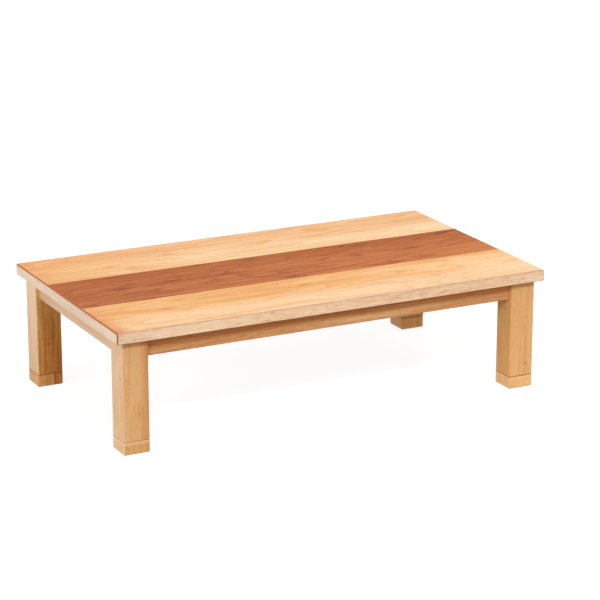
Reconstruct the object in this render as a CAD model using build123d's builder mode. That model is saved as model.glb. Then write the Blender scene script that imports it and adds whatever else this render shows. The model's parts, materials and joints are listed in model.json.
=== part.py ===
from build123d import *
from math import sqrt
import os

# A rectangular kotatsu table: a loose two-tone top on a frame of four bolted legs and four
# aprons, a block under each leg that raises the table, and an electric heater unit with a fan
# under the middle of the top.
#
# Millimetres, +Z up. X runs along the table and the front is -Y. The origin is on the floor
# under the middle of the top.

os.makedirs("parts", exist_ok=True)

# ------------------------------------------------------------------ overall sizes
table_length = 1500.0
table_width = 850.0
table_height = 400.0        # floor to top surface, with the leg extensions on

# ------------------------------------------------------------------ top
top_thickness = 36.0
face_veneer = 0.6           # on the top surface and on the underside
edge_tape = 0.8             # on the four upright edges
top_arris = 4.0             # chamfer round the top surface, cut through to the core
bottom_arris = 1.5
corner_chamfer = 4.0        # the four upright corners
centre_strip_width = 288.0  # the dark veneer along the middle

# ------------------------------------------------------------------ legs and their extensions
leg_side = 86.0
leg_setback = 24.0          # from the top's edge to the leg's outer faces
leg_arris = 3.0             # rounded upright edges
leg_top_arris = 1.0
extension_height = 42.0     # floor to the seam, felt included
seam_arris = 0.9            # eased edges above and below the seam
foot_arris = 2.0
corner_flat = 14.0          # flat cut off the leg's inner edge, where the bracket bears

felt_side = 66.0
felt_corner = 6.0
felt_thickness = 1.5

bolt_radius = 4.0           # M8 bolt from below, through the extension into the leg
bolt_reach = 28.0           # above the seam
bolt_head_flats = 13.0
bolt_head_height = 5.3
bolt_clearance = 0.5
counterbore_radius = 11.0
counterbore_depth = 20.0
washer_radius = 9.0
washer_thickness = 1.6
insert_radius = 6.0         # threaded insert pressed into the leg
insert_length = 25.0
thread_gap = 0.3            # between a bolt and the plain bore that stands for its thread
bore_tip = 4.0              # a blind bore goes this much deeper than what enters it

dowel_radius = 4.0
dowel_fit = 0.05            # glued dowels in their bores
dowel_slide = 0.3           # locating dowels in the leg's bores, which pull out
extension_dowel_spread = 46.0   # between a block's two dowels, along X and along Y
extension_dowel_reach = 15.0    # to each side of the seam

# ------------------------------------------------------------------ aprons
apron_recess = 12.0         # from the leg's outer face to the apron's
apron_thickness = 20.0
apron_height = 58.0
apron_arris = 1.2
apron_dowel_reach = 15.0    # to each side of the joint
apron_dowel_spacing = 26.0

rest_pad_radius = 7.0       # rubber pads between the frame and the loose top
rest_pad_depth = 2.0
rest_pad_proud = 1.0

# ------------------------------------------------------------------ corner brackets
bracket_plate = 2.0
bracket_height = 44.0
bracket_flange = 30.0
bracket_bend = 3.0
hanger_bolt_spacing = 22.0
hanger_bolt_embed = 35.0
hanger_bolt_end = 5.0       # past the nut
nut_flats = 13.0
nut_height = 6.5
bracket_screw_spacing = 26.0

screw_head_radius = 3.8     # pan-head wood screws
screw_head_height = 2.2
screw_radius = 1.9
screw_length = 16.0
screw_fit = 0.05
screw_hole_play = 0.3       # round a screw in sheet metal

# ------------------------------------------------------------------ heater rails
heater_opening = 300.0      # clear width between the rails, the usual size for a heater unit
rail_width = 40.0
rail_height = 32.0
rail_drop = 2.0             # below the top of the aprons
rail_housing = 6.0          # depth of the notches in the aprons
angle_leaf = 24.0
angle_height = 24.0
angle_plate = 2.0

# ------------------------------------------------------------------ heater unit
case_side = 292.0
case_depth = 46.0
case_rise = 22.0            # how far the case stands up between the rails
case_sheet = 1.2
case_corner = 14.0
case_shoulder = 4.0         # rounding round the case's roof
ear_reach = 26.0
ear_width = 24.0
ear_spacing = 220.0
vent_length = 26.0
vent_height = 3.5
vent_spacing = 34.0
vent_count = 6

guard_fit = 0.2             # between the guard's band and the case
guard_band = 2.0
guard_band_height = 6.0
guard_wire_radius = 1.0
guard_wire_sides = 8        # the thin round wire is drawn as an octagon
guard_wire_count = 15
guard_wire_spacing = 18.0
guard_cross_count = 3
guard_cross_spacing = 90.0
guard_drop = 7.0            # how far the wires hang below the case's rim
guard_slope = 9.0           # run over which they come down
guard_weld = 0.3            # how far crossing wires sink into each other

reflector_sheet = 0.6
reflector_rise = 20.0
reflector_slope = 30.0
reflector_lip = 4.0
reflector_length = 256.0
fan_opening_radius = 50.0

tube_radius = 6.0
tube_wall = 1.0
tube_spacing = 170.0
tube_end_gap = 4.0
coil_gap = 0.6              # inside the tube
coil_setback = 10.0
holder_depth = 14.0
holder_width = 22.0
holder_wall = 2.4           # ceramic above and below the tube's bore
holder_fit = 0.1

motor_radius = 26.0
motor_height = 15.0
motor_boss_radius = 8.0
motor_boss_height = 2.5
motor_screw_spacing = 34.0
motor_screw_radius = 1.5
motor_screw_length = 6.0
shaft_radius = 2.0
shaft_running_gap = 0.05
wheel_radius = 42.0
wheel_disc = 1.0
wheel_gap = 2.0             # between the motor's boss and the wheel
hub_radius = 7.0
hub_height = 10.0
blade_count = 10
blade_height = 11.0
blade_thickness = 1.2
blade_root = 16.0
blade_arc_radius = 30.0
blade_arc = 50.0            # degrees of the blade's curve
clip_radius = 5.0
clip_height = 1.5

thermostat_radius = 7.0
thermostat_height = 9.0
thermostat_base_radius = 10.0
thermostat_base = 1.5
thermostat_place = (-78.0, 40.0)
fuse_radius = 2.4
fuse_length = 16.0
fuse_place = (78.0, 40.0)
terminal_length = 42.0
terminal_width = 18.0
terminal_height = 12.0
terminal_pitch = 12.0
terminal_well_radius = 3.5
terminal_well_depth = 5.0
terminal_place = (-60.0, -80.0)

inlet_place = 84.0          # along X, on the case's front wall
inlet_width = 32.0
inlet_height = 13.0
inlet_depth = 24.0
inlet_wall = 3.0
inlet_bezel = 2.0
inlet_bezel_border = 2.0
inlet_below_roof = 13.0     # from the case's roof to the inlet's centre
pin_radius = 2.0
pin_spacing = 12.0
pin_length = 13.0

lead_radius = 1.2           # sleeved leads between the heater's parts
lead_bend = 5.0
lead_pitch = 8.0            # between two leads side by side
lead_slant = 18.0           # run over which a lead moves across
lead_below_ceiling = 1.0
lead_rise = 10.0            # how far a lead stands up from a tube holder
lead_straight = 18.0        # straight out of a terminal or the fuse
lead_round_fan = 12.0       # from the edge of the reflector's opening

# ------------------------------------------------------------------ places worked out from them
half_length = table_length / 2
half_width = table_width / 2
top_underside = table_height - top_thickness
frame_top = top_underside - rest_pad_proud

leg_outer_x = half_length - leg_setback
leg_outer_y = half_width - leg_setback
leg_inner_x = leg_outer_x - leg_side
leg_inner_y = leg_outer_y - leg_side
leg_centre_x = leg_outer_x - leg_side / 2
leg_centre_y = leg_outer_y - leg_side / 2

apron_outer_x = leg_outer_x - apron_recess
apron_outer_y = leg_outer_y - apron_recess
apron_inner_x = apron_outer_x - apron_thickness
apron_inner_y = apron_outer_y - apron_thickness
apron_mid_x = apron_outer_x - apron_thickness / 2
apron_mid_y = apron_outer_y - apron_thickness / 2
apron_bottom = frame_top - apron_height
apron_mid_z = frame_top - apron_height / 2

corners = {
    "front_left": (-1, -1),
    "front_right": (1, -1),
    "back_left": (-1, 1),
    "back_right": (1, 1),
}
leg_centres = [(side_x * leg_centre_x, side_y * leg_centre_y) for side_x, side_y in corners.values()]

on_seat = (Align.CENTER, Align.CENTER, Align.MIN)
under_seat = (Align.CENTER, Align.CENTER, Align.MAX)


def save(piece, node):
    """Names a finished piece and writes it as its own STEP file."""
    piece.part.label = node
    export_step(piece.part, f"parts/{node}.step")


def drive_screws(seats, head_radius=screw_head_radius, head_height=screw_head_height,
                 radius=screw_radius, length=screw_length):
    """Adds a screw at each seat: the head stands on the plane and the shank goes into it."""
    with Locations(*seats):
        Cylinder(head_radius, head_height, align=on_seat)
        Cylinder(radius, length, align=under_seat)


def centred_steps(count, spacing):
    """Places of a row of equal steps about zero."""
    return [(step - (count - 1) / 2) * spacing for step in range(count)]


# ------------------------------------------------------------------ top


def top_outline(inset):
    """The top's plan with its four corners cut off, drawn in by inset."""
    with BuildSketch() as outline:
        Rectangle(table_length, table_width)
        chamfer(outline.vertices(), length=corner_chamfer)
        if inset > 0:
            offset(amount=-inset, mode=Mode.REPLACE)
    return outline.sketch


tape_bottom = top_underside + bottom_arris
tape_height = top_thickness - bottom_arris - top_arris
long_tape = table_length - 2 * corner_chamfer
short_tape = table_width - 2 * corner_chamfer
tape_mid_x = half_length - edge_tape / 2
tape_mid_y = half_width - edge_tape / 2
edge_tapes = {
    "front": ((0, -tape_mid_y), long_tape, edge_tape),
    "back": ((0, tape_mid_y), long_tape, edge_tape),
    "left": ((-tape_mid_x, 0), edge_tape, short_tape),
    "right": ((tape_mid_x, 0), edge_tape, short_tape),
}

with BuildPart() as top_core:
    with BuildSketch(Plane.XY.offset(top_underside)):
        add(top_outline(0))
    extrude(amount=top_thickness)
    chamfer(top_core.faces().sort_by(Axis.Z)[-1].edges(), length=top_arris)
    chamfer(top_core.faces().sort_by(Axis.Z)[0].edges(), length=bottom_arris)
    with BuildSketch(Plane.XY.offset(table_height)):
        add(top_outline(top_arris))
    extrude(amount=-face_veneer, mode=Mode.SUBTRACT)
    with BuildSketch(Plane.XY.offset(top_underside)):
        add(top_outline(bottom_arris))
    extrude(amount=face_veneer, mode=Mode.SUBTRACT)
    with BuildSketch(Plane.XY.offset(tape_bottom)):
        for place, size_x, size_y in edge_tapes.values():
            with Locations(place):
                Rectangle(size_x, size_y)
    extrude(amount=tape_height, mode=Mode.SUBTRACT)
save(top_core, "top_core")

for edge, (place, size_x, size_y) in edge_tapes.items():
    with BuildPart() as tape:
        with BuildSketch(Plane.XY.offset(tape_bottom)):
            with Locations(place):
                Rectangle(size_x, size_y)
        extrude(amount=tape_height)
    save(tape, f"edge_tape_{edge}")

# Three sheets lie edge to edge on the core: pale, dark, pale.
side_strip_width = (table_width - centre_strip_width) / 2
side_strip_mid = (centre_strip_width + side_strip_width) / 2
veneer_strips = {
    "front": (-side_strip_mid, side_strip_width),
    "centre": (0, centre_strip_width),
    "back": (side_strip_mid, side_strip_width),
}
for strip, (strip_mid, strip_width) in veneer_strips.items():
    with BuildPart() as veneer:
        with BuildSketch(Plane.XY.offset(table_height - face_veneer)):
            add(top_outline(top_arris))
            with Locations((0, strip_mid)):
                Rectangle(table_length, strip_width, mode=Mode.INTERSECT)
        extrude(amount=face_veneer)
    save(veneer, f"top_veneer_{strip}")

with BuildPart() as top_backing:
    with BuildSketch(Plane.XY.offset(top_underside)):
        add(top_outline(bottom_arris))
    extrude(amount=face_veneer)
save(top_backing, "top_backing")

# ------------------------------------------------------------------ leg extensions
block_bottom = felt_thickness
bolt_seat = block_bottom + counterbore_depth
bolt_head_top = bolt_seat - washer_thickness
dowel_offset = extension_dowel_spread / 2


def extension_dowel_places(centre):
    """The two locating dowels stand on a diagonal of the leg."""
    x, y = centre
    return [(x - dowel_offset, y - dowel_offset), (x + dowel_offset, y + dowel_offset)]


for corner, (side_x, side_y) in corners.items():
    centre = (side_x * leg_centre_x, side_y * leg_centre_y)
    with BuildPart() as block:
        with BuildSketch(Plane.XY.offset(block_bottom)):
            with Locations(centre):
                RectangleRounded(leg_side, leg_side, leg_arris)
        extrude(amount=extension_height - block_bottom)
        chamfer(block.faces().sort_by(Axis.Z)[-1].edges(), length=seam_arris)
        chamfer(block.faces().sort_by(Axis.Z)[0].edges(), length=foot_arris)
        with Locations(Plane(origin=(*centre, block_bottom), z_dir=(0, 0, -1))):
            CounterBoreHole(bolt_radius + bolt_clearance, counterbore_radius, counterbore_depth)
        with Locations(*[(x, y, extension_height) for x, y in extension_dowel_places(centre)]):
            Hole(dowel_radius + dowel_fit, depth=extension_dowel_reach)
    save(block, f"leg_extension_{corner}")

with BuildPart() as extension_dowels:
    for centre in leg_centres:
        with Locations(*[(x, y, extension_height) for x, y in extension_dowel_places(centre)]):
            Cylinder(dowel_radius, 2 * extension_dowel_reach)
save(extension_dowels, "extension_dowels")

with BuildPart() as extension_bolts:
    with BuildSketch(Plane.XY.offset(bolt_head_top)):
        with Locations(*leg_centres):
            RegularPolygon(bolt_head_flats / 2, 6, major_radius=False)
    extrude(amount=-bolt_head_height)
    with BuildSketch(Plane.XY.offset(bolt_head_top)):
        with Locations(*leg_centres):
            Circle(bolt_radius)
    extrude(amount=extension_height + bolt_reach - bolt_head_top)
save(extension_bolts, "extension_bolts")

with BuildPart() as extension_washers:
    with BuildSketch(Plane.XY.offset(bolt_head_top)):
        with Locations(*leg_centres):
            Circle(washer_radius)
            Circle(bolt_radius + bolt_clearance, mode=Mode.SUBTRACT)
    extrude(amount=washer_thickness)
save(extension_washers, "extension_washers")

with BuildPart() as foot_felts:
    with BuildSketch():
        with Locations(*leg_centres):
            RectangleRounded(felt_side, felt_side, felt_corner)
            Circle(counterbore_radius, mode=Mode.SUBTRACT)
    extrude(amount=felt_thickness)
save(foot_felts, "foot_felts")

# ------------------------------------------------------------------ corner geometry
# The bracket crosses the corner at 45 degrees and bears on the leg's flat. In the corner where
# X and Y are both positive, its outer face is the line x + y = bracket_line.
bracket_line = leg_inner_x + leg_inner_y + corner_flat
bend_x = bracket_line - apron_inner_y
bend_y = bracket_line - apron_inner_x
flat_mid_x = leg_inner_x + corner_flat / 2
flat_mid_y = leg_inner_y + corner_flat / 2
hanger_levels = [apron_mid_z + rise for rise in centred_steps(2, hanger_bolt_spacing)]
bracket_screw_levels = [apron_mid_z + rise for rise in centred_steps(2, bracket_screw_spacing)]


def hanger_planes(side_x, side_y, stand_off):
    """Planes across a corner's two hanger bolts, facing the middle of the table."""
    step = stand_off / sqrt(2)
    x = side_x * (flat_mid_x - step)
    y = side_y * (flat_mid_y - step)
    return [Plane(origin=(x, y, level), z_dir=(-side_x, -side_y, 0)) for level in hanger_levels]


def long_flange_seats(side_x, side_y):
    """Where the bracket's screws enter the front or back apron."""
    x = side_x * (bend_x - bracket_flange / 2)
    y = side_y * (apron_inner_y - bracket_plate)
    return [Plane(origin=(x, y, level), z_dir=(0, -side_y, 0)) for level in bracket_screw_levels]


def short_flange_seats(side_x, side_y):
    """Where the bracket's screws enter the left or right apron."""
    x = side_x * (apron_inner_x - bracket_plate)
    y = side_y * (bend_y - bracket_flange / 2)
    return [Plane(origin=(x, y, level), z_dir=(-side_x, 0, 0)) for level in bracket_screw_levels]


all_hanger_planes = []
all_bracket_seats = []
for side_x, side_y in corners.values():
    all_hanger_planes += hanger_planes(side_x, side_y, bracket_plate)
    all_bracket_seats += long_flange_seats(side_x, side_y) + short_flange_seats(side_x, side_y)

apron_dowel_levels = [apron_mid_z + rise for rise in centred_steps(2, apron_dowel_spacing)]


def long_dowel_planes(side_x, side_y):
    """Planes at an end of the front or back apron, facing the middle of the apron."""
    spot = (side_x * leg_inner_x, side_y * apron_mid_y)
    return [Plane(origin=(*spot, level), z_dir=(-side_x, 0, 0)) for level in apron_dowel_levels]


def short_dowel_planes(side_x, side_y):
    """Planes at an end of the left or right apron, facing the middle of the apron."""
    spot = (side_x * apron_mid_x, side_y * leg_inner_y)
    return [Plane(origin=(*spot, level), z_dir=(0, -side_y, 0)) for level in apron_dowel_levels]


# ------------------------------------------------------------------ legs
for corner, (side_x, side_y) in corners.items():
    centre = (side_x * leg_centre_x, side_y * leg_centre_y)
    with BuildPart() as leg:
        with BuildSketch(Plane.XY.offset(extension_height)):
            with Locations(centre):
                RectangleRounded(leg_side, leg_side, leg_arris)
        extrude(amount=frame_top - extension_height)
        chamfer(leg.faces().sort_by(Axis.Z)[0].edges(), length=seam_arris)
        chamfer(leg.faces().sort_by(Axis.Z)[-1].edges(), length=leg_top_arris)
        # Flat for the bracket, from the apron's lower edge up.
        with BuildSketch(Plane.XY.offset(apron_bottom)):
            with BuildLine():
                Polyline(
                    (side_x * leg_inner_x, side_y * leg_inner_y),
                    (side_x * (leg_inner_x + corner_flat), side_y * leg_inner_y),
                    (side_x * leg_inner_x, side_y * (leg_inner_y + corner_flat)),
                    close=True,
                )
            make_face()
        extrude(amount=apron_height, mode=Mode.SUBTRACT)
        with Locations(*hanger_planes(side_x, side_y, 0)):
            Hole(bolt_radius + dowel_fit, depth=hanger_bolt_embed + bore_tip)
        # Bores for the apron dowels come in from the two inner faces.
        bore = dowel_radius + dowel_fit
        with Locations(*long_dowel_planes(side_x, side_y), *short_dowel_planes(side_x, side_y)):
            Hole(bore, depth=apron_dowel_reach)
        # The foot takes the threaded insert, the bolt's end and the locating dowels.
        with Locations(Plane(origin=(*centre, extension_height), z_dir=(0, 0, -1))):
            Hole(insert_radius, depth=insert_length)
            Hole(bolt_radius + bolt_clearance, depth=bolt_reach + bore_tip)
        dowel_feet = [(x, y, extension_height) for x, y in extension_dowel_places(centre)]
        with Locations(*[Plane(origin=foot, z_dir=(0, 0, -1)) for foot in dowel_feet]):
            Hole(dowel_radius + dowel_slide, depth=extension_dowel_reach + bore_tip)
        with Locations((*centre, frame_top)):
            Hole(rest_pad_radius, depth=rest_pad_depth)
    save(leg, f"leg_{corner}")

with BuildPart() as leg_inserts:
    with BuildSketch(Plane.XY.offset(extension_height)):
        with Locations(*leg_centres):
            Circle(insert_radius)
            Circle(bolt_radius + thread_gap, mode=Mode.SUBTRACT)
    extrude(amount=insert_length)
save(leg_inserts, "leg_inserts")

# ------------------------------------------------------------------ heater rails
rail_top = frame_top - rail_drop
rail_bottom = rail_top - rail_height
rail_inner_x = heater_opening / 2
rail_mid_x = rail_inner_x + rail_width / 2
rail_outer_x = rail_inner_x + rail_width
rail_end_y = apron_inner_y + rail_housing
rail_mid_z = rail_top - rail_height / 2

case_roof = rail_bottom + case_rise
case_rim = case_roof - case_depth
ear_x = case_side / 2 + ear_reach / 2
ear_seats = [
    Plane(origin=(side * ear_x, y, rail_bottom - case_sheet), z_dir=(0, 0, -1))
    for side in (-1, 1)
    for y in centred_steps(2, ear_spacing)
]


def rail_leaf_seats(side_x, side_y):
    """Screw seat on an angle's leaf against the rail."""
    x = side_x * (rail_outer_x + angle_plate)
    y = side_y * (apron_inner_y - angle_leaf / 2)
    return [Plane(origin=(x, y, rail_mid_z), z_dir=(side_x, 0, 0))]


def apron_leaf_seats(side_x, side_y):
    """Screw seat on an angle's leaf against the front or back apron."""
    x = side_x * (rail_outer_x + angle_leaf / 2)
    y = side_y * (apron_inner_y - angle_plate)
    return [Plane(origin=(x, y, rail_mid_z), z_dir=(0, -side_y, 0))]


for rail_name, side_x in (("left", -1), ("right", 1)):
    with BuildPart() as rail:
        with BuildSketch(Plane.XY.offset(rail_bottom)):
            with Locations((side_x * rail_mid_x, 0)):
                Rectangle(rail_width, 2 * rail_end_y)
        extrude(amount=rail_height)
        chamfer(rail.edges().filter_by(Axis.Y), length=apron_arris)
        with Locations(*rail_leaf_seats(side_x, -1), *rail_leaf_seats(side_x, 1)):
            Hole(screw_radius + screw_fit, depth=screw_length)
        with Locations(*[seat for seat in ear_seats if seat.origin.X * side_x > 0]):
            Hole(screw_radius + screw_fit, depth=screw_length)
    save(rail, f"heater_rail_{rail_name}")

with BuildPart() as rail_angles:
    for side_x, side_y in corners.values():
        with BuildSketch(Plane.XY.offset(rail_mid_z - angle_height / 2)):
            with BuildLine():
                Polyline(
                    (side_x * rail_outer_x, side_y * apron_inner_y),
                    (side_x * (rail_outer_x + angle_leaf), side_y * apron_inner_y),
                    (side_x * (rail_outer_x + angle_leaf), side_y * (apron_inner_y - angle_plate)),
                    (side_x * (rail_outer_x + angle_plate), side_y * (apron_inner_y - angle_plate)),
                    (side_x * (rail_outer_x + angle_plate), side_y * (apron_inner_y - angle_leaf)),
                    (side_x * rail_outer_x, side_y * (apron_inner_y - angle_leaf)),
                    close=True,
                )
            make_face()
        extrude(amount=angle_height)
        with Locations(*rail_leaf_seats(side_x, side_y), *apron_leaf_seats(side_x, side_y)):
            Hole(screw_radius + screw_hole_play, depth=angle_plate)
save(rail_angles, "rail_angles")

with BuildPart() as rail_screws:
    for side_x, side_y in corners.values():
        drive_screws(rail_leaf_seats(side_x, side_y) + apron_leaf_seats(side_x, side_y))
save(rail_screws, "rail_screws")

# ------------------------------------------------------------------ aprons
for apron_name, side_y in (("front", -1), ("back", 1)):
    with BuildPart() as apron:
        with BuildSketch(Plane.XY.offset(apron_bottom)):
            with Locations((0, side_y * apron_mid_y)):
                Rectangle(2 * leg_inner_x, apron_thickness)
        extrude(amount=apron_height)
        chamfer(apron.edges().filter_by(Axis.X), length=apron_arris)
        # Notches that the heater rails drop into.
        with BuildSketch(Plane.XY.offset(rail_bottom)):
            with Locations(*[(side_x * rail_mid_x, side_y * apron_inner_y) for side_x in (-1, 1)]):
                Rectangle(rail_width, 2 * rail_housing)
        extrude(amount=rail_drop + rail_height, mode=Mode.SUBTRACT)
        with Locations(*long_dowel_planes(-1, side_y), *long_dowel_planes(1, side_y)):
            Cylinder(
                dowel_radius + dowel_fit, apron_dowel_reach, align=on_seat, mode=Mode.SUBTRACT
            )
        with Locations(*long_flange_seats(-1, side_y), *long_flange_seats(1, side_y)):
            Hole(screw_radius + screw_fit, depth=screw_length)
        with Locations(*apron_leaf_seats(-1, side_y), *apron_leaf_seats(1, side_y)):
            Hole(screw_radius + screw_fit, depth=screw_length)
        with Locations((0, side_y * apron_mid_y, frame_top)):
            Hole(rest_pad_radius, depth=rest_pad_depth)
    save(apron, f"apron_{apron_name}")

for apron_name, side_x in (("left", -1), ("right", 1)):
    with BuildPart() as apron:
        with BuildSketch(Plane.XY.offset(apron_bottom)):
            with Locations((side_x * apron_mid_x, 0)):
                Rectangle(apron_thickness, 2 * leg_inner_y)
        extrude(amount=apron_height)
        chamfer(apron.edges().filter_by(Axis.Y), length=apron_arris)
        with Locations(*short_dowel_planes(side_x, -1), *short_dowel_planes(side_x, 1)):
            Cylinder(
                dowel_radius + dowel_fit, apron_dowel_reach, align=on_seat, mode=Mode.SUBTRACT
            )
        with Locations(*short_flange_seats(side_x, -1), *short_flange_seats(side_x, 1)):
            Hole(screw_radius + screw_fit, depth=screw_length)
    save(apron, f"apron_{apron_name}")

with BuildPart() as apron_dowels:
    for side_x, side_y in corners.values():
        with Locations(*long_dowel_planes(side_x, side_y), *short_dowel_planes(side_x, side_y)):
            Cylinder(dowel_radius, 2 * apron_dowel_reach)
save(apron_dowels, "apron_dowels")

with BuildPart() as rest_pads:
    pad_places = leg_centres + [(0, -apron_mid_y), (0, apron_mid_y)]
    with BuildSketch(Plane.XY.offset(frame_top - rest_pad_depth)):
        with Locations(*pad_places):
            Circle(rest_pad_radius)
    extrude(amount=rest_pad_depth + rest_pad_proud)
save(rest_pads, "rest_pads")

# ------------------------------------------------------------------ corner brackets and their bolts
for corner, (side_x, side_y) in corners.items():
    with BuildPart() as bracket:
        with BuildSketch(Plane.XY.offset(apron_mid_z - bracket_height / 2)):
            with BuildLine():
                FilletPolyline(
                    (side_x * (bend_x - bracket_flange), side_y * apron_inner_y),
                    (side_x * bend_x, side_y * apron_inner_y),
                    (side_x * apron_inner_x, side_y * bend_y),
                    (side_x * apron_inner_x, side_y * (bend_y - bracket_flange)),
                    radius=bracket_bend,
                )
                offset(amount=bracket_plate, side=Side.RIGHT if side_x * side_y > 0 else Side.LEFT)
            make_face()
        extrude(amount=bracket_height)
        with Locations(*hanger_planes(side_x, side_y, bracket_plate)):
            Hole(bolt_radius + bolt_clearance, depth=bracket_plate)
        with Locations(*long_flange_seats(side_x, side_y), *short_flange_seats(side_x, side_y)):
            Hole(screw_radius + screw_hole_play, depth=bracket_plate)
    save(bracket, f"corner_bracket_{corner}")

with BuildPart() as bracket_screws:
    drive_screws(all_bracket_seats)
save(bracket_screws, "bracket_screws")

hanger_bolt_stand = washer_thickness + nut_height + hanger_bolt_end
with BuildPart() as hanger_bolts:
    with Locations(*all_hanger_planes):
        Cylinder(bolt_radius, hanger_bolt_stand, align=on_seat)
        Cylinder(bolt_radius, bracket_plate + hanger_bolt_embed, align=under_seat)
save(hanger_bolts, "hanger_bolts")

with BuildPart() as hanger_washers:
    with Locations(*all_hanger_planes):
        Cylinder(washer_radius, washer_thickness, align=on_seat)
        Cylinder(bolt_radius + dowel_fit, washer_thickness, align=on_seat, mode=Mode.SUBTRACT)
save(hanger_washers, "hanger_washers")

with BuildPart() as hanger_nuts:
    for hanger_plane in all_hanger_planes:
        with BuildSketch(hanger_plane.offset(washer_thickness)):
            RegularPolygon(nut_flats / 2, 6, major_radius=False)
            Circle(bolt_radius + dowel_fit, mode=Mode.SUBTRACT)
        extrude(amount=nut_height)
save(hanger_nuts, "hanger_nuts")

# ------------------------------------------------------------------ heater case
case_inner = case_side - 2 * case_sheet
inner_wall = case_inner / 2
inlet_z = case_roof - inlet_below_roof
ceiling = case_roof - case_sheet
along_x = (1, 0, 0)
back_wall = Plane(origin=(0, case_side / 2, inlet_z), x_dir=along_x, z_dir=(0, 1, 0))
inlet_face = Plane(origin=(inlet_place, -case_side / 2, inlet_z), x_dir=along_x, z_dir=(0, -1, 0))

with BuildPart() as heater_case:
    with BuildSketch(Plane.XY.offset(case_rim)):
        RectangleRounded(case_side, case_side, case_corner)
    extrude(amount=case_depth)
    fillet(heater_case.faces().sort_by(Axis.Z)[-1].edges(), radius=case_shoulder)
    offset(amount=-case_sheet, openings=heater_case.faces().sort_by(Axis.Z)[0])
    # Four ears that screw up against the rails.
    ear_inner = case_side / 2 - case_sheet
    ear_length = ear_reach + case_sheet
    with BuildSketch(Plane.XY.offset(rail_bottom - case_sheet)):
        for side in (-1, 1):
            for y in centred_steps(2, ear_spacing):
                with Locations((side * (ear_inner + ear_length / 2), y)):
                    Rectangle(ear_length, ear_width)
    extrude(amount=case_sheet)
    with Locations(*ear_seats):
        Hole(screw_radius + screw_hole_play, depth=case_sheet)
    # Air slots in the back wall, and the inlet's cut-out in the front wall.
    with BuildSketch(back_wall):
        with Locations(*[(x, 0) for x in centred_steps(vent_count, vent_spacing)]):
            SlotOverall(vent_length, vent_height)
    extrude(amount=-case_sheet, mode=Mode.SUBTRACT)
    with BuildSketch(inlet_face):
        Rectangle(inlet_width, inlet_height)
    extrude(amount=-case_sheet, mode=Mode.SUBTRACT)
    # Screw holes for the guard and for the fan motor.
    guard_seats = [
        Plane(origin=(x, side * case_side / 2, case_rim + guard_band_height / 2), z_dir=(0, side, 0))
        for side in (-1, 1)
        for x in centred_steps(2, ear_spacing)
    ]
    motor_seats = [
        Plane(origin=(x, 0, case_roof), z_dir=(0, 0, 1))
        for x in centred_steps(2, motor_screw_spacing)
    ]
    with Locations(*guard_seats, *motor_seats):
        Hole(motor_screw_radius + screw_fit, depth=case_sheet)
save(heater_case, "heater_case")

with BuildPart() as heater_screws:
    drive_screws(ear_seats)
save(heater_screws, "heater_screws")

with BuildPart() as guard_screws:
    drive_screws(
        guard_seats,
        head_radius=2 * motor_screw_radius,
        head_height=motor_screw_radius,
        radius=motor_screw_radius,
        length=case_sheet + guard_fit + guard_band,
    )
save(guard_screws, "guard_screws")

# ------------------------------------------------------------------ guard
band_side = case_inner - 2 * guard_fit
band_corner = case_corner - case_sheet - guard_fit
wire_level = case_rim - guard_drop + guard_wire_radius
cross_level = wire_level + 2 * guard_wire_radius - guard_weld
wire_end = band_side / 2 - guard_band / 2
wire_top = case_rim + guard_band_height / 2


def guard_wire(along, step, level):
    """Adds one wire, bent down from the band, along X or Y at a step to its side."""

    def at(run, height):
        return (run, step, height) if along == "x" else (step, run, height)

    slope_end = wire_end - guard_slope
    with BuildLine() as path:
        Polyline(at(-wire_end, wire_top), at(-slope_end, level), at(slope_end, level), at(wire_end, wire_top))
    start = path.line @ 0
    with BuildSketch(Plane(origin=start, z_dir=path.line % 0)) as section:
        RegularPolygon(guard_wire_radius, guard_wire_sides, major_radius=False)
    sweep(section.sketch, path=path.line, transition=Transition.RIGHT)


with BuildPart() as heater_guard:
    with BuildSketch(Plane.XY.offset(case_rim)):
        RectangleRounded(band_side, band_side, band_corner)
        RectangleRounded(
            band_side - 2 * guard_band, band_side - 2 * guard_band, band_corner - guard_band,
            mode=Mode.SUBTRACT,
        )
    extrude(amount=guard_band_height)
    for wire_step in centred_steps(guard_wire_count, guard_wire_spacing):
        guard_wire("x", wire_step, wire_level)
    for wire_step in centred_steps(guard_cross_count, guard_cross_spacing):
        guard_wire("y", wire_step, cross_level)
    with Locations(*guard_seats):
        Hole(motor_screw_radius + screw_fit, depth=case_sheet + guard_fit + guard_band)
save(heater_guard, "heater_guard")

# ------------------------------------------------------------------ reflector
# One bent sheet: it rises from lips on the guard's band to a flat roof with the fan's opening.
reflector_rim = case_rim + guard_band_height
reflector_roof = reflector_rim + reflector_rise
rim_y = inner_wall - guard_fit
foot_y = rim_y - reflector_lip
roof_y = foot_y - reflector_slope

with BuildPart() as reflector:
    with BuildSketch(Plane.YZ.offset(-reflector_length / 2)):
        with BuildLine():
            Polyline(
                (-rim_y, reflector_rim),
                (-foot_y, reflector_rim),
                (-roof_y, reflector_roof),
                (roof_y, reflector_roof),
                (foot_y, reflector_rim),
                (rim_y, reflector_rim),
            )
            offset(amount=reflector_sheet, side=Side.LEFT)
        make_face()
    extrude(amount=reflector_length)
    with Locations((0, 0, reflector_roof + reflector_sheet)):
        Hole(fan_opening_radius, depth=reflector_sheet)
save(reflector, "reflector")

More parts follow.
